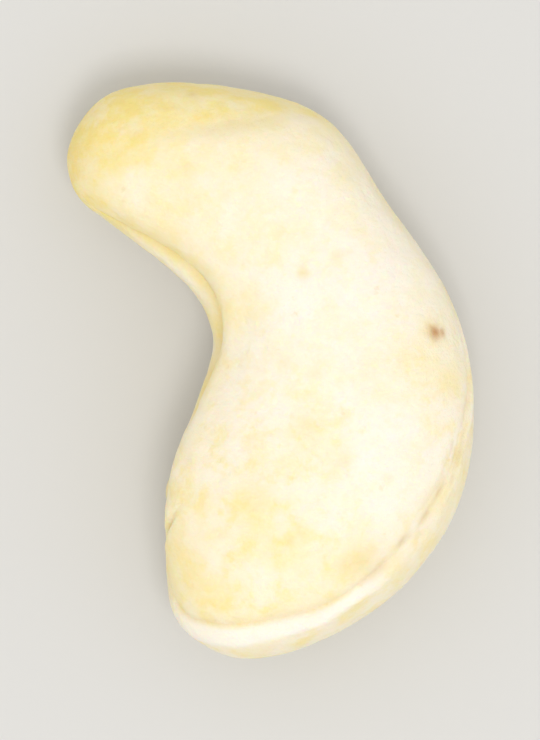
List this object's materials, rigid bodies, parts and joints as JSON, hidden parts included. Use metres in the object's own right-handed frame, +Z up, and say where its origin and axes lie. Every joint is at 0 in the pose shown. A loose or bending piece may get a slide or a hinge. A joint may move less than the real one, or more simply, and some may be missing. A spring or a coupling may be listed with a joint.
{
  "type": "roasted cashew nut",
  "caption": "Whole curved cashew kernel, its seed halves and root tip grown together, lying on its side on a small flat spot.",
  "frame": {"origin": "under the middle of the kernel's bounding box, at the height of the flat spot that it lies on", "axes": "+X from the hollow side towards the back of the bend, +Y from the big end towards the small end, +Z up, square to the plane of the bend"},
  "size_m": [0.0184, 0.0262, 0.0098],
  "materials": {
    "kernel": "pale ivory seed flesh, matte and faintly waxy, with golden mottling and small brown flecks"
  },
  "bodies": {
    "root": {"kernel": "kernel"}
  },
  "joints": []
}
